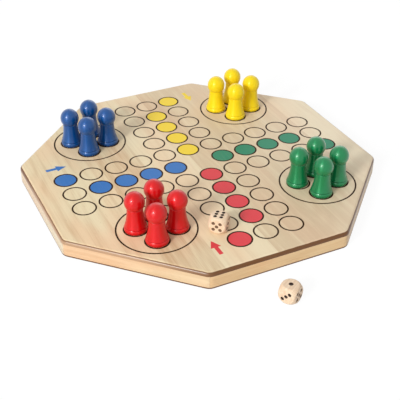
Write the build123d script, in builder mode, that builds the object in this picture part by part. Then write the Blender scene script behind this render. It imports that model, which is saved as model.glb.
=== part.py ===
from build123d import *
from math import acos, cos, degrees, radians, sin, sqrt
import os

# Octagonal wooden ludo board with sixteen turned pawns and two dice.
#
# Millimetres, +Z up. The origin is the centre of the board's underside, with two of its
# flats towards +X and -X and two towards +Y and -Y. The playing face looks up.

# --- Board -----------------------------------------------------------------------------
across_flats = 400.0
side_count = 8
corner_radius = 12.0  # rounding of the upright corners, on panels and rails alike
top_thickness = 4.9
rail_height = 13.8
bottom_thickness = 2.4
top_round = 4.0  # rounding of the playing panel's upper edge
bottom_round = 1.4  # rounding of the bottom panel's lower edge
rail_width = 24.0
batten_width = 20.0
lap_clearance = 0.1  # on each side of a batten in the other's notch

# --- Where the printed game lies on the board ------------------------------------------
print_turn = 1.06  # degrees; the print isn't quite square to the board's flats
print_x = 0.3
print_y = -1.1
home_reach = 102.8  # from the print's centre to a home's centre, along both its axes
stand_radius = 22.6  # from a home's centre to the places where its pawns stand
first_stand_angle = 67.5  # degrees

# --- Pawns -----------------------------------------------------------------------------
pawn_height = 47.2
foot_diameter = 25.8
foot_height = 5.2
foot_undercut = 0.9  # how far the foot draws in at its lower edge
foot_draw_in = 0.9  # how far the foot draws in at its upper edge
foot_groove = 0.9  # width of the turned line above the foot
foot_groove_depth = 0.7
cone_hollow = 0.9  # how far the flank of the body dips inside a straight cone
neck_diameter = 17.8
neck_groove = 0.35  # width and depth of the turned line under the head
head_diameter = 22.4
head_height = 23.6  # the full ball, from pole to pole

# --- Dice ------------------------------------------------------------------------------
die_size = 19.6
die_ball_radius = 12.95  # the ball that rounds off the cube's edges and corners
die_edge_round = 2.0  # softening where a flat meets the ball
pip_step = 3.8  # between neighbouring columns and rows of pips
six_column_step = 3.35  # the six is narrower and longer, so that its pips stay apart
six_row_step = 4.5
pip_diameter = 4.0
single_pip_diameter = 5.0  # the one on a face by itself is drilled larger
pip_depth = 0.75
board_die_x = -40.7
board_die_inset = 63.8  # from the board's near flat to the die's centre
board_die_turn = -43.7  # degrees
loose_die_x = -16.5
loose_die_gap = 46.7  # from the board's near flat to the die's centre
loose_die_turn = -59.1  # degrees

# --- Values that follow ----------------------------------------------------------------
full_turn = 360  # degrees
side_angle = full_turn / side_count
rails_top = bottom_thickness + rail_height
board_thickness = rails_top + top_thickness
inner_flats = across_flats - 2 * rail_width
mitre_reach = across_flats  # the mitre cuts start at the centre and end beyond the corners

home_corners = {"blue": (-1, 1), "yellow": (1, 1), "green": (1, -1), "red": (-1, -1)}
stands_per_home = 4
# Pawns that were set down a little off their places, along the board's X and Y.
set_down_off = {("red", 1): (-1.3, 0.6), ("green", 2): (-1.3, 0.5), ("yellow", 2): (-1.1, 0.6)}

os.makedirs("parts", exist_ok=True)


def write_piece(builder, name):
    """Label a finished piece and write it as its own STEP file."""
    builder.part.label = name
    export_step(builder.part, f"parts/{name}.step")


# --- Panels ----------------------------------------------------------------------------
with BuildSketch() as board_plan:
    RegularPolygon(across_flats / 2, side_count, major_radius=False, rotation=side_angle / 2)
    fillet(board_plan.vertices(), corner_radius)

with BuildPart() as top_panel:
    with BuildSketch(Plane.XY.offset(rails_top)):
        add(board_plan.sketch)
    extrude(amount=top_thickness)
    fillet(top_panel.faces().sort_by(Axis.Z)[-1].edges(), top_round)
write_piece(top_panel, "top_panel")

with BuildPart() as bottom_panel:
    with BuildSketch():
        add(board_plan.sketch)
    extrude(amount=bottom_thickness)
    fillet(bottom_panel.faces().sort_by(Axis.Z)[0].edges(), bottom_round)
write_piece(bottom_panel, "bottom_panel")

# --- Rim rails, mitred on the lines from the centre to the octagon's corners ------------
for side in range(side_count):
    side_direction = side * side_angle
    with BuildPart() as rim_rail:
        with BuildSketch(Plane.XY.offset(bottom_thickness)):
            add(board_plan.sketch)
            RegularPolygon(inner_flats / 2, side_count, major_radius=False,
                           rotation=side_angle / 2, mode=Mode.SUBTRACT)
            with BuildLine():
                mitre_ends = [
                    (mitre_reach * cos(radians(side_direction + to_corner)),
                     mitre_reach * sin(radians(side_direction + to_corner)))
                    for to_corner in (-side_angle / 2, side_angle / 2)
                ]
                Polyline((0, 0), *mitre_ends, close=True)
            make_face(mode=Mode.INTERSECT)
        extrude(amount=rail_height)
    write_piece(rim_rail, f"rim_rail_{side + 1}")

# --- Cross battens, half-lapped at the board's centre ------------------------------------
half_rail = rail_height / 2
lap_width = batten_width + 2 * lap_clearance

with BuildPart() as batten_lengthwise:
    with BuildSketch(Plane.XY.offset(bottom_thickness)):
        Rectangle(inner_flats, batten_width)
    extrude(amount=rail_height)
    with BuildSketch(Plane.XY.offset(bottom_thickness + half_rail)):
        Rectangle(lap_width, batten_width)
    extrude(amount=half_rail, mode=Mode.SUBTRACT)
write_piece(batten_lengthwise, "batten_lengthwise")

with BuildPart() as batten_crosswise:
    with BuildSketch(Plane.XY.offset(bottom_thickness)):
        Rectangle(batten_width, inner_flats)
    extrude(amount=rail_height)
    with BuildSketch(Plane.XY.offset(bottom_thickness)):
        Rectangle(batten_width, lap_width)
    extrude(amount=half_rail, mode=Mode.SUBTRACT)
write_piece(batten_crosswise, "batten_crosswise")


# --- Pawns -----------------------------------------------------------------------------
def build_pawn(x, y):
    """One pawn, turned about an upright axis that stands on the playing face at x, y."""
    foot_radius = foot_diameter / 2
    head_radius = head_diameter / 2
    half_head = head_height / 2
    head_centre = pawn_height - half_head
    groove_radius = neck_diameter / 2 - neck_groove
    head_start = -degrees(acos(groove_radius / head_radius))
    head_foot = head_centre - half_head * sqrt(1 - (groove_radius / head_radius) ** 2)
    neck_top = head_foot - neck_groove
    cone_foot_radius = foot_radius - foot_draw_in
    cone_foot = foot_height + foot_groove
    turning_plane = Plane(origin=(x, y, board_thickness), x_dir=(1, 0, 0), z_dir=(0, -1, 0))
    with BuildPart() as pawn:
        with BuildSketch(turning_plane):
            with BuildLine():
                Line((0, 0), (foot_radius - foot_undercut, 0))
                ThreePointArc((foot_radius - foot_undercut, 0), (foot_radius, foot_height / 2),
                              (cone_foot_radius, foot_height))
                Polyline((cone_foot_radius, foot_height),
                         (cone_foot_radius - foot_groove_depth, foot_height + foot_groove / 2),
                         (cone_foot_radius, cone_foot))
                SagittaArc((cone_foot_radius, cone_foot), (neck_diameter / 2, neck_top),
                           cone_hollow)
                Line((neck_diameter / 2, neck_top), (groove_radius, head_foot))
                EllipticalCenterArc((0, head_centre), head_radius, half_head,
                                    start_angle=head_start, arc_size=full_turn / 4 - head_start)
                Line((0, pawn_height), (0, 0))
            make_face()
        revolve(axis=Axis((x, y, 0), (0, 0, 1)))
    return pawn


for colour, (home_x, home_y) in home_corners.items():
    for stand in range(stands_per_home):
        stand_angle = radians(first_stand_angle + stand * full_turn / stands_per_home)
        along = home_x * home_reach + stand_radius * cos(stand_angle)
        across = home_y * home_reach + stand_radius * sin(stand_angle)
        turn = radians(print_turn)
        off_x, off_y = set_down_off.get((colour, stand + 1), (0, 0))
        pawn_x = print_x + along * cos(turn) - across * sin(turn) + off_x
        pawn_y = print_y + along * sin(turn) + across * cos(turn) + off_y
        write_piece(build_pawn(pawn_x, pawn_y), f"{colour}_pawn_{stand + 1}")

# --- Dice ------------------------------------------------------------------------------
pip_corners = [(-pip_step, -pip_step), (pip_step, pip_step),
               (-pip_step, pip_step), (pip_step, -pip_step)]
pip_layouts = {
    1: [(0, 0)],
    2: pip_corners[:2],
    3: [(0, 0), *pip_corners[:2]],
    4: pip_corners,
    5: [(0, 0), *pip_corners],
    6: [(column * six_column_step, row * six_row_step)
        for column in (-1, 1) for row in (-1, 0, 1)],
}


def build_die(x, y, base_height, turn_angle, faces):
    """A die that stands at base_height, with faces = numbers on its -Z, +Z, -Y, +Y, -X, +X."""
    die_plane = Plane((x, y, base_height + die_size / 2)).rotated((0, 0, turn_angle))
    face_frames = [
        ((0, 0, -1), (1, 0, 0)),
        ((0, 0, 1), (1, 0, 0)),
        ((0, -1, 0), (1, 0, 0)),
        ((0, 1, 0), (-1, 0, 0)),
        ((-1, 0, 0), (0, -1, 0)),
        ((1, 0, 0), (0, 1, 0)),
    ]
    with BuildPart(die_plane) as die:
        Box(die_size, die_size, die_size)
        Sphere(die_ball_radius, mode=Mode.INTERSECT)
        fillet(die.edges().filter_by(GeomType.CIRCLE), die_edge_round)
        for number, (normal, row) in zip(faces, face_frames):
            face_plane = Plane(origin=(0, 0, 0), x_dir=row, z_dir=normal)
            pip_radius = (single_pip_diameter if number == 1 else pip_diameter) / 2
            pip_ball_radius = (pip_radius ** 2 + pip_depth ** 2) / (2 * pip_depth)
            pip_ball_height = die_size / 2 + pip_ball_radius - pip_depth
            pip_places = [
                face_plane.location * Location((along, across, pip_ball_height))
                for along, across in pip_layouts[number]
            ]
            with Locations(*pip_places):
                Sphere(pip_ball_radius, mode=Mode.SUBTRACT)
    return die


near_flat = -across_flats / 2

board_die = build_die(board_die_x, near_flat + board_die_inset, board_thickness,
                      board_die_turn, (1, 6, 5, 2, 4, 3))
write_piece(board_die, "board_die")

loose_die = build_die(loose_die_x, near_flat - loose_die_gap, 0, loose_die_turn,
                      (6, 1, 3, 4, 2, 5))
write_piece(loose_die, "loose_die")
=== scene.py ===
# %% [markdown]
# # A wooden ludo board with turned pawns and dice
#
# The board is a flat octagon of pale wood, with the game printed on it. Sixteen painted pawns
# stand in the four homes, one die lies on the board and one beside it. The construction comes
# in as a fixed frame: every panel, rail, pawn and die already has its shape and its place.
# This lesson adds what is missing, which is the print, the wood, the paint and the light.

# %% Load the frame
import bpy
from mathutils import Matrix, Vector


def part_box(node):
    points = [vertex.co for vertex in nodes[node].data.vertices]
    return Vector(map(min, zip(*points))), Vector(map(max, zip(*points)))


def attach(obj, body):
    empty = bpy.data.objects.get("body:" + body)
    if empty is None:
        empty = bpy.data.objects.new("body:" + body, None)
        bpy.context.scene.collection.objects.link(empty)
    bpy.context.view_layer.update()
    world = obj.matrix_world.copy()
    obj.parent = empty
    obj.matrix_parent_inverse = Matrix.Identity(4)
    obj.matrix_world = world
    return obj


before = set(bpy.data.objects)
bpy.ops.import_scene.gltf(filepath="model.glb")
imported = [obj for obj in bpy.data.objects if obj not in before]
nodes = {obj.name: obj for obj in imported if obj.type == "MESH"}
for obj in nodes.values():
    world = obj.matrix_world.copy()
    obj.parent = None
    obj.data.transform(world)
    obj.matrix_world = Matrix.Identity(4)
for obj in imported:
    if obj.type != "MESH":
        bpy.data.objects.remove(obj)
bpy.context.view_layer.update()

print("nodes in the frame:", len(nodes))

# %% [markdown]
# ## Measuring the board
#
# Everything that follows is laid out from the board itself. A printer would measure the panel
# before making the screens, and so do we: the frame tells where the playing face lies and how
# far the flats are from the centre. Lengths are given in millimetres and turned into Blender's
# metres by one factor, so that they read like a drawing.

# %% Sizes read from the frame
from math import atan2, cos, degrees, pi, radians, sin, sqrt, tan

import bmesh
import bpy
from mathutils import Vector

MM = 0.001

panel_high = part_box("top_panel")[1]
face_height = panel_high.z / MM
flat_reach = panel_high.x / MM
print(f"playing face at {face_height:.1f} mm, flats at {flat_reach:.1f} mm from the centre")

# %% [markdown]
# ## The camera
#
# The board is seen from a little above, over its near left side. The lens is fairly long, so
# the octagon narrows only a little towards the back. A camera has no width or height of its
# own: its lens and sensor give the angle of view, and the render adds the frame.

# %% Camera
camera_place = (-0.3707, -0.7762, 0.5474)  # metres
camera_tilt, camera_roll, camera_turn = 55.85, -0.105, -25.56  # degrees
sensor_width, lens = 36, 74.53  # millimetres

camera_data = bpy.data.cameras.new("camera")
camera_data.sensor_width = sensor_width
camera_data.lens = lens
camera = bpy.data.objects.new("camera", camera_data)
camera.location = camera_place
camera.rotation_euler = (radians(camera_tilt), radians(camera_roll), radians(camera_turn))
bpy.context.scene.collection.objects.link(camera)
bpy.context.scene.camera = camera
print("angle of view:", round(degrees(2 * atan2(sensor_width / 2, lens)), 1), "degrees")

# %% [markdown]
# ## Arithmetic for surfaces
#
# Wood, stain and paint are made by nodes, and nodes are easier to read as formulas. A Field
# is a value that changes over a surface. It wraps one output socket and takes Python's own
# arithmetic, so 1 - mask adds a Math node that subtracts. Both orders of each operator are
# needed, because the number may stand first.

# %% Field
class Field:
    """A value over a surface: one output socket that can be added, multiplied and compared."""

    def __init__(self, recipe, socket):
        self.recipe = recipe
        self.socket = socket

    def maths(self, operation, *values):
        return self.recipe.node("ShaderNodeMath", {"operation": operation},
                                dict(enumerate(values)))

    def __add__(self, other):
        return self.maths("ADD", self, other)

    def __sub__(self, other):
        return self.maths("SUBTRACT", self, other)

    def __rsub__(self, other):
        return self.maths("SUBTRACT", other, self)

    def __mul__(self, other):
        return self.maths("MULTIPLY", self, other)

    def __gt__(self, other):
        return self.maths("GREATER_THAN", self, other)

    def __lt__(self, other):
        return self.maths("LESS_THAN", self, other)

    def __abs__(self):
        return self.maths("ABSOLUTE", self)

    __radd__ = __add__
    __rmul__ = __mul__

    def most(self, other):
        return self.maths("MAXIMUM", self, other)

    def least(self, other):
        return self.maths("MINIMUM", self, other)

    def root(self):
        return self.maths("SQRT", self)

    def wave(self):
        return self.maths("SINE", self)

    def step(self, start, end):
        """0 up to start, 1 from end on, and a smooth rise between them."""
        return self.recipe.node(
            "ShaderNodeMapRange", {"interpolation_type": "SMOOTHSTEP"},
            {"Value": self, "From Min": start, "From Max": end})


# %% [markdown]
# A Recipe holds the node tree of one finish. All its nodes are added by one method, which
# takes the type, then the settings, then what goes into the sockets, and last the output that
# is wanted. The other methods are short names for the few nodes that the finishes here need.

# %% Recipe
class Recipe:
    """The node tree of one finish, and the short names for the nodes that it uses."""

    def __init__(self, tree):
        self.tree = tree
        tree.nodes.clear()

    def node(self, kind, settings=None, inputs=None, output=0):
        """Add a node, set it up, fill or link its sockets, and give one output as a Field."""
        made = self.tree.nodes.new(kind)
        for name, value in (settings or {}).items():
            setattr(made, name, value)
        for place, value in (inputs or {}).items():
            if isinstance(value, Field):
                self.tree.links.new(value.socket, made.inputs[place])
            else:
                made.inputs[place].default_value = value
        return Field(self, made.outputs[output] if made.outputs else None)

    def mix(self, amount, first, second, blend="MIX"):
        """Two colours mixed. The node has sockets for each kind of data; these are for colour."""
        return self.node("ShaderNodeMix", {"data_type": "RGBA", "blend_type": blend},
                         {0: amount, 6: first, 7: second}, output=2)

    def millimetres(self, centre=(0, 0, 0), turn=0):
        """The place on the piece in millimetres, from a centre, turned about an upright axis."""
        place = self.node("ShaderNodeTexCoord", output="Object")
        return self.node("ShaderNodeMapping", {"vector_type": "TEXTURE"},
                         {"Vector": place, "Location": [MM * c for c in centre],
                          "Rotation": (0, 0, radians(turn)), "Scale": (MM, MM, MM)})

    def axes(self, place):
        """The three coordinates of a place."""
        split = self.node("ShaderNodeSeparateXYZ", inputs={0: place}).socket.node
        return [Field(self, socket) for socket in split.outputs]

    def noise(self, place, size, detail=2.0, start=0):
        """Noise from 0 to 1, with lumps of about the given size in millimetres on each axis."""
        spread = self.node("ShaderNodeVectorMath", {"operation": "MULTIPLY_ADD"},
                           {0: place, 1: [1 / s for s in size], 2: (start, start, start)})
        return self.node("ShaderNodeTexNoise",
                         inputs={"Vector": spread, "Scale": 1.0, "Detail": detail})

    def bump(self, height, depth):
        """A normal bent by a height from 0 to 1, which stands for a depth in millimetres."""
        return self.node("ShaderNodeBump", inputs={"Height": height, "Strength": 1.0,
                                                   "Distance": depth * MM})

    def seen(self):
        """1 where the camera looks, straight, by a reflection or through glass, and 0 elsewhere."""
        straight, mirrored, through = [
            self.node("ShaderNodeLightPath", output=f"Is {kind} Ray")
            for kind in ("Camera", "Glossy", "Transmission")]
        return straight.most(mirrored).most(through)

    def shader(self, **sockets):
        """The surface itself. Socket names are written with an underscore for each space."""
        inputs = {name.replace("_", " "): value for name, value in sockets.items()}
        surface = self.node("ShaderNodeBsdfPrincipled", inputs=inputs)
        self.node("ShaderNodeOutputMaterial", inputs={"Surface": surface})


def tint(red, green, blue):
    """A colour as it shows on a screen, from 0 to 255, in Blender's linear light."""
    def linear(level):
        level = level / 255
        return level / 12.92 if level <= 0.04045 else ((level + 0.055) / 1.055) ** 2.4
    return (linear(red), linear(green), linear(blue), 1.0)


def finish(name):
    """A new material and its empty recipe."""
    material = bpy.data.materials.new(name)
    material.use_nodes = True
    return material, Recipe(material.node_tree)


def give(piece, material):
    piece.data.materials.clear()
    piece.data.materials.append(material)


print("a mid grey in linear light:", [round(level, 3) for level in tint(128, 128, 128)[:3]])

# %% [markdown]
# ## Pale wood
#
# Board, rails and battens come from the same light, even timber. Up close such wood is four
# things laid over each other: the boards that were glued edge to edge, each with its own tone;
# broad streaks of early and late growth; hair-fine fibres; and pores, which are short dark
# dashes. The last three are long along the grain and narrow across it, so one noise does for
# each of them when its lumps are stretched. A slow sine of such a noise adds the wavy figure,
# and a wide one a blush, where the wood turns from a greenish tone to a rosy one. The grain
# runs along Y, and a turned mapping lays it along any other piece.

# %% Wood
# How wide, long and deep the lumps of each noise are, in millimetres.
streak_size, fibre_size, pore_size = (7, 210, 7), (0.9, 42, 0.9), (0.5, 9, 0.5)
figure_size, blush_size, warp_size = (38, 230, 38), (46, 150, 46), (60, 240, 60)
greenish, rosy = (0.985, 1.03, 0.99, 1.0), (0.985, 0.9, 0.83, 1.0)
pore_shade = (0.62, 0.47, 0.36, 1.0)


def wood_colour(recipe, place, pale, deep, board_width, board_tone=0.5, start=0.0):
    """Colour, and a height from 0 to 1, for wood whose grain runs along the place's Y.

    Pale and deep are the ends of its colour, board_width is how wide its glued boards are,
    board_tone how far their tones lie apart, and start chooses the stretch of timber.
    """
    across = recipe.axes(place)[0]
    warp = recipe.noise(place, warp_size, detail=1.0, start=start + 7)
    board = recipe.node("ShaderNodeTexVoronoi", {"voronoi_dimensions": "1D"},
                        {"W": across * (1 / board_width) + warp * 0.1 + start, "Scale": 1.0},
                        output="Color")
    tone = recipe.node("ShaderNodeSeparateColor", inputs={0: board})
    streaks = recipe.noise(place, streak_size, detail=3.0, start=start)
    fibres = recipe.noise(place, fibre_size, detail=3.0, start=start + 3)
    pores = recipe.noise(place, pore_size, detail=1.0, start=start + 5).step(0.66, 0.78)
    figure = (recipe.noise(place, figure_size, detail=1.0, start=start + 17) * 52).wave()
    depth = ((tone - 0.5) * board_tone + (streaks - 0.5) * 1.2 + (fibres - 0.5) * 0.7
             + figure * 0.09 + 0.45)
    timber = recipe.mix(depth.step(0.0, 1.0), pale, deep)
    blush = recipe.noise(place, blush_size, detail=2.0, start=start + 11).step(0.36, 0.64)
    timber = recipe.mix(1.0, timber, recipe.mix(blush, greenish, rosy), "MULTIPLY")
    timber = recipe.mix(pores * 0.35, timber, pore_shade, "MULTIPLY")
    return timber, fibres - pores * 0.6


print(f"streaks {streak_size[1]} mm long, fibres {fibre_size[1]} mm and pores {pore_size[1]} mm")

# %% [markdown]
# ## The stained edge
#
# The edge of the playing panel was brushed brown after the print. The stain covers the side
# and the outer half of the rounding, and ends there in a fairly crisp line. It could be a
# separate strip, but stain has no thickness, so it is painted by a mask: how far out a point
# lies. An octagon folds onto an eighth of itself when the longer and the shorter of its two
# coordinates are used, and there two sides are left to measure to, and one rounded corner. A
# little noise makes the brush line wander as it does on wood. On the side that faces front
# right, the line also starts a little lower.

# %% Distance to the sides of the octagon
side_count = 8
half_side = 180 / side_count  # degrees from the middle of a side to its corner
corner_rounding = 12.0


def reach(recipe, place):
    """How far out a point lies, measured square to the octagon's nearest side, in millimetres."""
    x, y, _ = recipe.axes(place)
    longer, shorter = abs(x).most(abs(y)), abs(x).least(abs(y))
    slanted = (longer + shorter) * sqrt(0.5)
    core = flat_reach - corner_rounding
    along, across = longer - core, shorter - core * tan(radians(half_side))
    from_core = (along * along + across * across).root() + core
    in_corner = (across > 0) * (across < along)
    return longer.most(slanted) * (1 - in_corner) + from_core * in_corner


print("the rounded corners are taken as", corner_rounding, "mm in radius")

# %% Stain
stain = tint(108, 66, 22)
stain_start = flat_reach - 2.0
stain_softness = 0.25
stain_wander = 0.6
stain_grain = 0.22  # how much of the timber's figure shows through
lower_by = 0.6
lower_side = -45  # degrees
lower_reach = (0.97, 0.985)  # where the lowering sets in, towards that side
lower_along = (-80, -55)  # and along it, from its middle


def towards(recipe, place, direction):
    """1 on the side that faces a direction in degrees, and less further in and round."""
    x, y, _ = recipe.axes(place)
    return (x * cos(radians(direction)) + y * sin(radians(direction))) * (1 / flat_reach)


def stain_mask(recipe, place):
    """1 on the stained edge and 0 on the bare face."""
    wander = (recipe.noise(place, (9, 9, 9), start=2) - 0.5) * stain_wander
    along = towards(recipe, place, lower_side + 90) * flat_reach
    lower = towards(recipe, place, lower_side).step(*lower_reach) * along.step(*lower_along)
    line = reach(recipe, place) + wander - lower * lower_by
    return line.step(stain_start - stain_softness, stain_start + stain_softness)


def stained_timber(recipe, timber):
    """The stain's colour, with a little of the wood's figure in it."""
    return recipe.mix(stain_grain, stain, timber, "MULTIPLY")


print(f"stain from {stain_start:.1f} mm outwards")

# %% [markdown]
# The playing panel wears both, the wood and the stain. Its bare wood is painted a touch paler
# towards the right: a painted sheen, for the glare of the varnish on that side. Towards the
# left, where the lamps stand, the stain keeps its dark line along the top but is painted pale
# further down the rounded edge: a painted highlight of the lamps on that edge.

# %% Playing panel
panel_pale, panel_deep = tint(238, 218, 184), tint(211, 181, 144)
# Painted sheen: the bare wood is mixed towards this white, more so to the right.
painted_sheen_white = tint(240, 226, 205)
painted_sheen_middle, painted_sheen_per_mm = 0.2, 0.3 / 180
# Painted highlight: on the edge that faces the lamps, the stain is mixed towards this pale tint.
painted_highlight_tint = tint(206, 168, 132)
painted_highlight_share = 0.65
painted_highlight_direction = 205  # degrees
painted_highlight_reach = (0.75, 0.95)  # where the painted highlight sets in, towards the lamps
painted_highlight_depth = (0.4, 2.4)  # and below the playing face

material, recipe = finish("panel_wood")
place = recipe.millimetres()
x, _, z = recipe.axes(place)
timber, relief = wood_colour(recipe, place, panel_pale, panel_deep, board_width=52,
                             board_tone=0.7, start=190.06)
# Painted sheen, paler towards the right.
timber = recipe.mix(x * painted_sheen_per_mm + painted_sheen_middle, timber, painted_sheen_white)
stained = stain_mask(recipe, place)
# Painted highlight on the stained edge that faces the lamps, below the top of the rounding.
painted_highlight = towards(recipe, place, painted_highlight_direction).step(*painted_highlight_reach)
painted_highlight = painted_highlight * (face_height - z).step(*painted_highlight_depth)
stain_with_painted_highlight = recipe.mix(painted_highlight * painted_highlight_share, stained_timber(recipe, timber), painted_highlight_tint)
recipe.shader(
    Base_Color=recipe.mix(stained, timber, stain_with_painted_highlight),
    Specular_IOR_Level=0.15,
    Roughness=0.42 + relief * 0.12 - stained * 0.12,
    Coat_Weight=stained * 0.55, Coat_Roughness=0.3, Coat_IOR=1.6,
    Normal=recipe.bump(relief, 0.02))
give(nodes["top_panel"], material)
print("panel_wood:", len(material.node_tree.nodes), "nodes")

# %% [markdown]
# ## Rim, underside and battens
#
# Eight mitred rails close the sides. Each was cut to length and turned into place, so the
# grain has to turn with it: every rail gets its own recipe, with the mapping turned to the
# rail's direction and its own stretch of timber. No two rails come from the same plank, so
# each also has its own warmth, between a grey and a honey tone, and its own lightness. The rail
# on the front right faces away from the lamps and is made darker still: that is painted shade.
# Where two rails meet there is a hairline, dark with glue. The rail's direction comes from its
# node, from the centre of its box.

# %% Rim rails
glue = tint(120, 80, 50)
glue_line, glue_share = 0.22, 0.45
rim_pale = (tint(228, 213, 192), tint(238, 200, 152))
rim_deep = (tint(210, 188, 162), tint(218, 172, 122))
# One value for each rail, in the order of their numbers.
rim_warmth = (0.6, 0.3, 0.7, 0.5, 0.1, 0.5, 0.82, 0.5)
# The last value darkens rail 8, on the front right, as painted shade, because it faces away from
# the lamps.
rim_lightness_and_shade = (1.0, 0.95, 1.0, 1.0, 0.95, 1.0, 1.0, 0.86)


def blend_tints(amount, first, second):
    return [one + (other - one) * amount for one, other in zip(first, second)]


for number in range(1, side_count + 1):
    rail = nodes[f"rim_rail_{number}"]
    low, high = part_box(rail.name)
    middle = (low + high) / 2
    direction = degrees(atan2(middle.y, middle.x))
    material, recipe = finish(f"rim_wood_{number}")
    place = recipe.millimetres(turn=direction)
    pale, deep = [blend_tints(rim_warmth[number - 1], *ends) for ends in (rim_pale, rim_deep)]
    light = [rim_lightness_and_shade[number - 1]] * 3 + [1.0]
    timber, relief = wood_colour(recipe, place, pale, deep, board_width=24, board_tone=0.3,
                                 start=13.0 * number)
    # Each rail's own tone, and painted shade on rail 8.
    timber = recipe.mix(1.0, timber, light, "MULTIPLY")
    x, y, _ = recipe.axes(place)
    to_joint = x * sin(radians(half_side)) - abs(y) * cos(radians(half_side))
    joint = 1 - to_joint.step(glue_line * 0.4, glue_line)
    recipe.shader(
        Base_Color=recipe.mix(joint * glue_share, timber, glue),
        Specular_IOR_Level=0.15,
        Roughness=0.38 + relief * 0.12,
        Coat_Weight=0.1, Coat_Roughness=0.25,
        Normal=recipe.bump(relief, 0.02))
    give(rail, material)
    print(rail.name, "faces", round(direction), "degrees")

# %% [markdown]
# The bottom panel is a thin sheet. Its rounded edge was stained with the top one's, and the
# underside itself is plain. The battens inside never see daylight, so they were left as sawn:
# duller, rougher to the touch, and ribbed across the grain by the saw.

# %% Bottom panel and battens
underside_pale, underside_deep = tint(222, 196, 158), tint(196, 162, 122)
batten_pale, batten_deep = tint(214, 184, 140), tint(180, 142, 98)

material, recipe = finish("underside_wood")
place = recipe.millimetres(turn=90)
timber, relief = wood_colour(recipe, place, underside_pale, underside_deep, board_width=70,
                             start=40)
stained = stain_mask(recipe, recipe.millimetres())
recipe.shader(
    Base_Color=recipe.mix(stained, timber, stained_timber(recipe, timber)),
    Roughness=0.48 + relief * 0.12 - stained * 0.14,
    Normal=recipe.bump(relief, 0.025))
give(nodes["bottom_panel"], material)

for name, grain_turn in (("batten_lengthwise", 90), ("batten_crosswise", 0)):
    material, recipe = finish(f"{name}_wood")
    place = recipe.millimetres(turn=grain_turn)
    timber, relief = wood_colour(recipe, place, batten_pale, batten_deep, board_width=30,
                                 start=60 + grain_turn)
    saw_marks = recipe.noise(place, (40, 1.1, 40), detail=1.0)
    recipe.shader(
        Base_Color=timber,
        Roughness=0.62 + relief * 0.15,
        Normal=recipe.bump(relief * 0.4 + saw_marks, 0.05))
    give(nodes[name], material)
print("bottom panel and battens done")

# %% [markdown]
# ## The printed game
#
# Ludo is played on a cross of small circles, with a large circle for each player's home. On
# the real board it is screen printed: one screen for the dark outlines and one for each
# colour. The print could be drawn in the wood's material, but lines this fine are cleaner as
# very thin pieces of ink that lie on the face, and each colour can then be changed by itself.
#
# The layout is a grid. Its pitch is the distance between neighbouring circles, and the print
# is a touch off the middle and not quite square to the panel, as prints are.

# %% The grid of the print
pitch = 31.9
print_centre = (0.3, -1.1)
print_turn = 1.06  # degrees
arm_half_width = 1  # in fields from the middle one
arm_length = 5

steps = range(-arm_length, arm_length + 1)
fields = [(u, v) for u in steps for v in steps
          if min(abs(u), abs(v)) <= arm_half_width and (u, v) != (0, 0)]
home_reach = 102.8
home_stand_reach = 22.6
home_signs = ((-1, 1), (1, 1), (1, -1), (-1, -1))
stand_angles = [67.5 + 90 * quarter for quarter in range(4)]

homes = [(home_reach * u, home_reach * v) for u, v in home_signs]
stands = [(x + home_stand_reach * cos(radians(a)), y + home_stand_reach * sin(radians(a)))
          for x, y in homes for a in stand_angles]
print("fields:", len(fields), " homes:", len(homes), " stands:", len(stands))

# %% [markdown]
# ### Modelling helpers
#
# Blender's operators act on whatever is selected, so each piece starts from an empty
# selection. Faces are then chosen in code by where they are, the way a hand would pick them
# on the screen.

# %% Selecting and shaping
def clear_selection():
    if bpy.context.mode != "OBJECT":
        bpy.ops.object.mode_set(mode="OBJECT")
    bpy.ops.object.select_all(action="DESELECT")


def pick_faces(test):
    """In edit mode, select only the faces whose centre passes the test."""
    bpy.ops.mesh.select_all(action="DESELECT")
    mesh = bmesh.from_edit_mesh(bpy.context.object.data)
    for face in mesh.faces:
        if test(face.calc_center_median()):
            face.select_set(True)
    bmesh.update_edit_mesh(bpy.context.object.data)


def raise_film(height):
    """In edit mode, give a flat outline its thickness, and turn its faces outwards."""
    bpy.ops.mesh.select_all(action="SELECT")
    bpy.ops.mesh.extrude_region_move(TRANSFORM_OT_translate={"value": (0, 0, height)})
    bpy.ops.mesh.select_all(action="SELECT")
    bpy.ops.mesh.normals_make_consistent(inside=False)
    bpy.ops.object.mode_set(mode="OBJECT")


def stamp(pattern, places, turn=0.0):
    """Copies of a piece at places of the print, each with its own mesh."""
    copies = []
    for x, y in places:
        copy = pattern.copy()
        copy.data = pattern.data.copy()
        copy.location = (x * MM, y * MM, 0)
        copy.rotation_euler = (0, 0, radians(turn))
        bpy.context.scene.collection.objects.link(copy)
        copies.append(copy)
    return copies


def join_print(name, pieces):
    """One piece of ink, turned and moved to where the print lies on the board."""
    clear_selection()
    for piece in pieces:
        piece.select_set(True)
    bpy.context.view_layer.objects.active = pieces[0]
    bpy.ops.object.transform_apply(location=True, rotation=True, scale=True)
    bpy.ops.object.join()
    joined = bpy.context.object
    joined.name = joined.data.name = name
    joined.rotation_euler = (0, 0, radians(print_turn))
    joined.location = (print_centre[0] * MM, print_centre[1] * MM, 0)
    bpy.ops.object.transform_apply(location=True, rotation=True, scale=True)
    clear_selection()
    print(name, "has", len(joined.data.polygons), "faces")
    return joined


# %% [markdown]
# ### Circles
#
# An outline is a disc whose middle is cut away: a filled circle is inset by the width of the
# line, the inner face is deleted, and what is left is raised by the thickness of the ink. The
# film starts a hair below the face, so that no gap shows at a low angle. One ring is made for
# the fields and stands, and one larger ring for the homes.

# %% Rings
ink_height = 0.08
ink_sink = 0.03
ring_radius, ring_line, ring_sides = 14.15, 1.9, 48
home_radius, home_line, home_sides = 45.2, 1.85, 96


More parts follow.
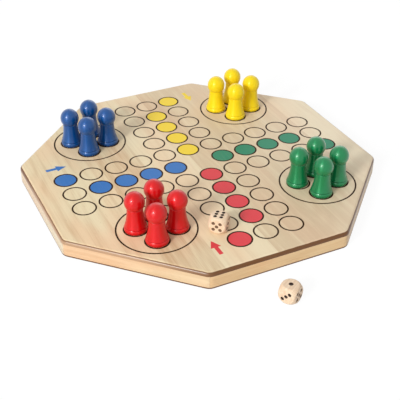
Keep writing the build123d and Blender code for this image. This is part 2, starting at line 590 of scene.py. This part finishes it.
def ink_ring(name, radius, line, sides):
    clear_selection()
    bpy.ops.mesh.primitive_circle_add(vertices=sides, radius=radius * MM, fill_type="NGON",
                                      location=(0, 0, (face_height - ink_sink) * MM))
    ring = bpy.context.object
    ring.name = name
    bpy.ops.object.transform_apply(location=True)
    bpy.ops.object.mode_set(mode="EDIT")
    bpy.ops.mesh.inset(thickness=line * MM)
    pick_faces(lambda centre: centre.xy.length < line * MM)
    bpy.ops.mesh.delete(type="FACE")
    raise_film((ink_height + ink_sink) * MM)
    return ring


field_ring = ink_ring("field_ring", ring_radius, ring_line, ring_sides)
home_ring = ink_ring("home_ring", home_radius, home_line, home_sides)
field_places = [(u * pitch, v * pitch) for u, v in fields]
outlines = stamp(field_ring, field_places + stands) + stamp(home_ring, homes)
print_outlines = join_print("print_outlines", outlines)

# %% [markdown]
# ### Coloured fields and arrows
#
# Each colour has one starting field at the end of its arm and four fields that lead to the
# middle. The colour goes on first and runs half way under the outline, so the discs are a
# little wider than the hole in the ring and a little thinner than the line. An arrow beside
# the starting field shows which way to go. It is cut from a plain sheet, as a stencil would
# be: three cuts make the shaft and the base of the head, and two slanting ones its point.

# %% One disc and one arrow
disc_radius = ring_radius - ring_line / 2
disc_height = 0.05
arrow_length = 24.8
head_length = 12.0
head_width = 12.0
shaft_width = 4.7


def ink_disc():
    clear_selection()
    bpy.ops.mesh.primitive_circle_add(vertices=ring_sides, radius=disc_radius * MM,
                                      fill_type="NGON",
                                      location=(0, 0, (face_height - ink_sink) * MM))
    disc = bpy.context.object
    disc.name = "field_disc"
    bpy.ops.object.transform_apply(location=True)
    bpy.ops.object.mode_set(mode="EDIT")
    raise_film((disc_height + ink_sink) * MM)
    return disc


def cut(point, normal, outer=False):
    """In edit mode, cut along a line; outer also clears what lies on the normal's side."""
    bpy.ops.mesh.select_all(action="SELECT")
    bpy.ops.mesh.bisect(plane_co=[c * MM for c in point], plane_no=Vector(normal).normalized(),
                        clear_outer=outer)


def ink_arrow():
    """An arrow that points along X, with its middle at the origin."""
    clear_selection()
    bpy.ops.mesh.primitive_plane_add(size=1.0, location=(0, 0, (face_height - ink_sink) * MM))
    arrow = bpy.context.object
    arrow.name = "arrow"
    arrow.scale = (arrow_length * MM, head_width * MM, 1)
    bpy.ops.object.transform_apply(location=True, scale=True)
    bpy.ops.object.mode_set(mode="EDIT")
    tip = arrow_length / 2
    head_base = tip - head_length
    for side in (1, -1):
        cut((tip, 0, 0), (head_width / 2, side * head_length, 0), outer=True)
        cut((0, side * shaft_width / 2, 0), (0, side, 0))
    cut((head_base, 0, 0), (1, 0, 0))
    pick_faces(lambda centre: centre.x < head_base * MM and abs(centre.y) > shaft_width / 2 * MM)
    bpy.ops.mesh.delete(type="FACE")
    bpy.ops.mesh.select_all(action="SELECT")
    bpy.ops.mesh.dissolve_limited()
    raise_film((disc_height + ink_sink) * MM)
    return arrow


field_disc = ink_disc()
arrow = ink_arrow()
print("disc faces:", len(field_disc.data.polygons), " arrow faces:", len(arrow.data.polygons))

# %% [markdown]
# The four colours are the same figure, turned by a quarter each time. So one player's fields
# and arrow are written down once, for the arm that comes in from the left, and the others are
# found by turning the places.

# %% Four colours
arrow_place = (-5.06 * pitch, 1.92 * pitch)
first_arm = [(-arm_length * pitch, pitch)] + [(u * pitch, 0) for u in range(-arm_length + 1, 0)]


def turned(point, quarter_turns):
    angle = radians(90 * quarter_turns)
    x, y = point
    return (x * cos(angle) - y * sin(angle), x * sin(angle) + y * cos(angle))


prints = {"outlines": print_outlines}
for quarter_turns, colour in enumerate(("blue", "red", "green", "yellow")):
    arm = [turned(point, quarter_turns) for point in first_arm]
    pieces = stamp(field_disc, arm)
    pieces += stamp(arrow, [turned(arrow_place, quarter_turns)], turn=90 * quarter_turns)
    prints[colour] = join_print(f"print_{colour}", pieces)

for pattern in (field_ring, home_ring, field_disc, arrow):
    bpy.data.meshes.remove(pattern.data)

# %% [markdown]
# ### Ink
#
# Screen ink on wood is nearly opaque and a little milky. The open grain shows through it as
# faint lines, and it dries slightly uneven. The grain of the print follows the wood below,
# so the same stretched noise is used, only weaker. The outlines are the most matt of all,
# because a gloss would turn so dark a line grey.

# %% Ink colours
wood_below = tint(225, 205, 175)
worn_share = 0.08
# For each ink its tint and how glossy it is.
inks = {
    "outlines": (tint(50, 28, 12), 0.05),
    "blue": (tint(54, 116, 187), 0.2),
    "red": (tint(222, 64, 72), 0.2),
    "green": (tint(40, 134, 100), 0.2),
    "yellow": (tint(244, 212, 52), 0.2),
}

for colour, (base, gloss) in inks.items():
    material, recipe = finish(f"ink_{colour}")
    place = recipe.millimetres()
    fibres = recipe.noise(place, fibre_size, detail=3.0, start=3)
    cloud = recipe.noise(place, (14, 30, 14), start=9)
    worn = ((fibres - 0.5) * 0.5 + (cloud - 0.5) * 0.3).step(0.0, 0.3)
    recipe.shader(
        Base_Color=recipe.mix(worn * worn_share, base, wood_below),
        Specular_IOR_Level=gloss,
        Roughness=0.46 + (cloud - 0.5) * 0.1,
        Normal=recipe.bump(fibres, 0.012))
    piece = prints[colour]
    give(piece, material)
    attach(piece, "board")
print("inks:", ", ".join(inks))

# %% [markdown]
# ## Pawns
#
# Each pawn was turned on a lathe, from the foot up to the ball, and then dipped in paint. The
# paint is thick and smooth. The turned lines above the foot and under the head lie in shade,
# and that is painted shade: the paint's colour is darker there. The lathe also leaves the
# faintest rings under the paint, which stretch a lamp's reflection into a soft streak along
# the pawn. That is what an anisotropic layer does, and a thin clear coat over it keeps the
# small round highlight. All sixteen stand at the same height, so one recipe per colour does
# for four pawns: the lines are found by height alone.

# %% Pawn paint
# For each colour its tint, how glossy it is, and how much painted shade darkens its turned lines.
paints = {
    "blue": (tint(0, 68, 130), 0.82, 0.7),
    "yellow": (tint(245, 214, 22), 0.25, 0.15),
    "green": (tint(5, 113, 65), 0.78, 0.7),
    "red": (tint(207, 11, 16), 0.55, 0.3),
}
foot_line, neck_line = 5.65, 27.6  # heights above the playing face
crease_shade_reach = (0.15, 0.7)  # from the middle of a line to where the painted shade ends
neck_shade_share = 0.3  # the line under the head is shallow and gets less painted shade
crease_shade_level = 0.4
cloud_shade = (0.86, 0.86, 0.86, 1.0)
pawns_per_player = 4


def streak_tint(colour, whiteness=0.14):
    """The hue of a colour at full strength, with some white in it."""
    strongest = max(colour[:3])
    return [level / strongest * (1 - whiteness) + whiteness for level in colour[:3]] + [1.0]


for colour, (base, gloss, crease_shading) in paints.items():
    material, recipe = finish(f"{colour}_paint")
    place = recipe.millimetres(centre=(0, 0, face_height))
    height = recipe.axes(place)[2]
    at_foot = 1 - abs(height - foot_line).step(*crease_shade_reach)
    at_neck = 1 - abs(height - neck_line).step(*crease_shade_reach)
    crease_shade_mask = at_foot.most(at_neck * neck_shade_share)
    cloud = recipe.noise(place, (6, 6, 6), start=4)
    turning = recipe.noise(place, (300, 300, 0.8), detail=1.0)
    ripple = recipe.noise(place, (1.6, 1.6, 1.6), detail=1.0, start=8)
    # Painted shade: the paint is darker in the turned lines, where shade falls.
    crease_shade_tint = [level * crease_shade_level for level in base[:3]] + [1.0]
    paint_and_crease_shade = recipe.mix(crease_shade_mask * crease_shading, base, crease_shade_tint)
    recipe.shader(
        Base_Color=recipe.mix((cloud - 0.5) * 0.3 + 0.1, paint_and_crease_shade, cloud_shade, "MULTIPLY"),
        Specular_IOR_Level=0.8, Specular_Tint=streak_tint(base),
        Roughness=0.4 + (cloud - 0.5) * 0.06,
        Anisotropic=0.9, Anisotropic_Rotation=0.25,
        Coat_Weight=gloss, Coat_Roughness=0.17, Coat_IOR=1.5,
        Normal=recipe.bump(turning * 0.6 + ripple * 0.4, 0.014))
    for number in range(1, pawns_per_player + 1):
        give(nodes[f"{colour}_pawn_{number}"], material)
print("pawns painted:", pawns_per_player * len(paints))

# %% [markdown]
# ## Dice
#
# A die of this kind is a cube of pale wood, tumbled until its corners are round, with its
# pips drilled and dabbed with dark paint. The drilled hollows are already there. The paint
# belongs only in them, so the mask asks whether a point lies a little below the flat faces,
# and near the line through the middle of one of them, because the rounded edges lie lower
# too. For that the recipe needs the die's own centre and turn. The five took less paint than
# the other sides, so its pips are paler.

# %% Wooden dice
die_size = 19.6
paint_depth = 0.05
pips_reach = 7.8
five_depth = 3.0
fresh_paint, worn_paint = tint(42, 24, 12), tint(112, 84, 62)
die_pale, die_deep = tint(240, 218, 190), tint(220, 188, 156)
# For each die its turn in degrees, and the side of its own frame that the five is on.
dice = {"board_die": (-43.7, (0, -1)), "loose_die": (-59.1, (1, 0))}

for name, (turn, (five_x, five_y)) in dice.items():
    low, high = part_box(name)
    centre = (low + high) / 2 / MM
    material, recipe = finish(f"{name}_wood")
    place = recipe.millimetres(centre=centre, turn=turn)
    x, y, z = recipe.axes(place)
    height = abs(x).most(abs(y)).most(abs(z))
    length = recipe.node("ShaderNodeVectorMath", {"operation": "LENGTH"}, {0: place},
                         output="Value")
    from_middle = (length * length - height * height).root()
    pip = (height < die_size / 2 - paint_depth) * (from_middle < pips_reach)
    worn = x * five_x + y * five_y > die_size / 2 - five_depth
    pip_paint = recipe.mix(worn, fresh_paint, worn_paint)
    streaks = recipe.noise(place, (2.2, 40, 5), start=turn)
    fibres = recipe.noise(place, (0.35, 14, 0.6), start=turn + 3)
    depth = (streaks - 0.5) * 1.2 + (fibres - 0.5) * 0.8 + 0.5
    timber = recipe.mix(depth.step(0.0, 1.0), die_pale, die_deep)
    recipe.shader(
        Base_Color=recipe.mix(pip, timber, pip_paint),
        Specular_IOR_Level=0.25,
        Roughness=0.42,
        Normal=recipe.bump(fibres * (1 - pip), 0.02))
    give(nodes[name], material)
    print(name, "centre", [round(c, 1) for c in centre])

# %% [markdown]
# ## Floor, world and light
#
# The floor is a plain pale sheet. Where it is looked at, it is mostly a white that gives its
# own light, with a share of real white paper in it, so that the shadows stay but the sheet
# never looks grey. The world is plain too: it lights the board evenly from all sides, and
# looks white where the camera or a reflection sees it.

# %% Floor
floor_size, floor_gap = 8.0, 0.0001  # metres, with a hair of air under the board
white = (1, 1, 1, 1)
paper_white = tint(231, 230, 229)
glow_share = 0.93

clear_selection()
bpy.ops.mesh.primitive_plane_add(size=floor_size, location=(0, 0, -floor_gap))
floor = bpy.context.object
floor.name = "floor"
material, recipe = finish("floor_paper")
seen = recipe.seen()
paper = recipe.node("ShaderNodeBsdfDiffuse", inputs={
    "Color": recipe.mix(seen, paper_white, white), "Roughness": 0.9})
glow = recipe.node("ShaderNodeEmission", inputs={"Color": white, "Strength": 1.0})
blend = recipe.node("ShaderNodeMixShader", inputs={0: seen * glow_share, 1: paper, 2: glow})
recipe.node("ShaderNodeOutputMaterial", inputs={"Surface": blend})
give(floor, material)
print("floor", floor_size, "m wide")

# %% World
sky_level = 0.52
world = bpy.data.worlds.new("studio")
bpy.context.scene.world = world
world.use_nodes = True
recipe = Recipe(world.node_tree)
backdrop = recipe.node("ShaderNodeBackground", inputs={
    "Color": white, "Strength": sky_level + recipe.seen() * (1 - sky_level)})
recipe.node("ShaderNodeOutputWorld", inputs={"Surface": backdrop})
print("sky level for the shade side:", sky_level)

# %% [markdown]
# One large soft lamp stands low on the left and a little in front, and throws long, soft
# shadows to the right. Cloth over a lamp is brightest in its middle, so a small bright core
# stands in the same direction, and gives each pawn its highlight. A weaker lamp stands opposite,
# behind the board, where it lays a faint sheen on the varnish. All are far away, so that the
# board is lit evenly. A lamp's power is worked out from how bright white paper should look when
# it faces the lamp, because that number stays the same when the lamp is moved or made larger.

# %% Softboxes
lamp_distance = 4.0


def softbox(name, direction, elevation, spread, level):
    """A square lamp; angles in degrees, and the level that it gives to white paper facing it."""
    lamp_data = bpy.data.lights.new(name, "AREA")
    lamp_data.shape = "SQUARE"
    lamp_data.size = 2 * lamp_distance * tan(radians(spread / 2))
    lamp_data.energy = level * pi ** 2 * lamp_distance ** 2
    lamp = bpy.data.objects.new(name, lamp_data)
    flat_distance = lamp_distance * cos(radians(elevation))
    lamp.location = (flat_distance * cos(radians(direction)),
                     flat_distance * sin(radians(direction)),
                     lamp_distance * sin(radians(elevation)))
    lamp.rotation_euler = (radians(90 - elevation), 0, radians(direction + 90))
    bpy.context.scene.collection.objects.link(lamp)
    print(f"{name} {lamp_data.size:.2f} m wide, {lamp_data.energy:.1f} W")


softbox("key_lamp", direction=208.8, elevation=28.0, spread=46.0, level=0.36)
softbox("key_core", direction=208.8, elevation=28.0, spread=10.2, level=0.52)
softbox("sheen_lamp", direction=56.0, elevation=27.0, spread=34.0, level=0.12)

# %% [markdown]
# ## Colour
#
# The picture is shown with the plain Standard transform, so that every tint looks as it was
# mixed. A film look would take the strength out of the paints.

# %% Colour
bpy.context.scene.view_settings.view_transform = "Standard"
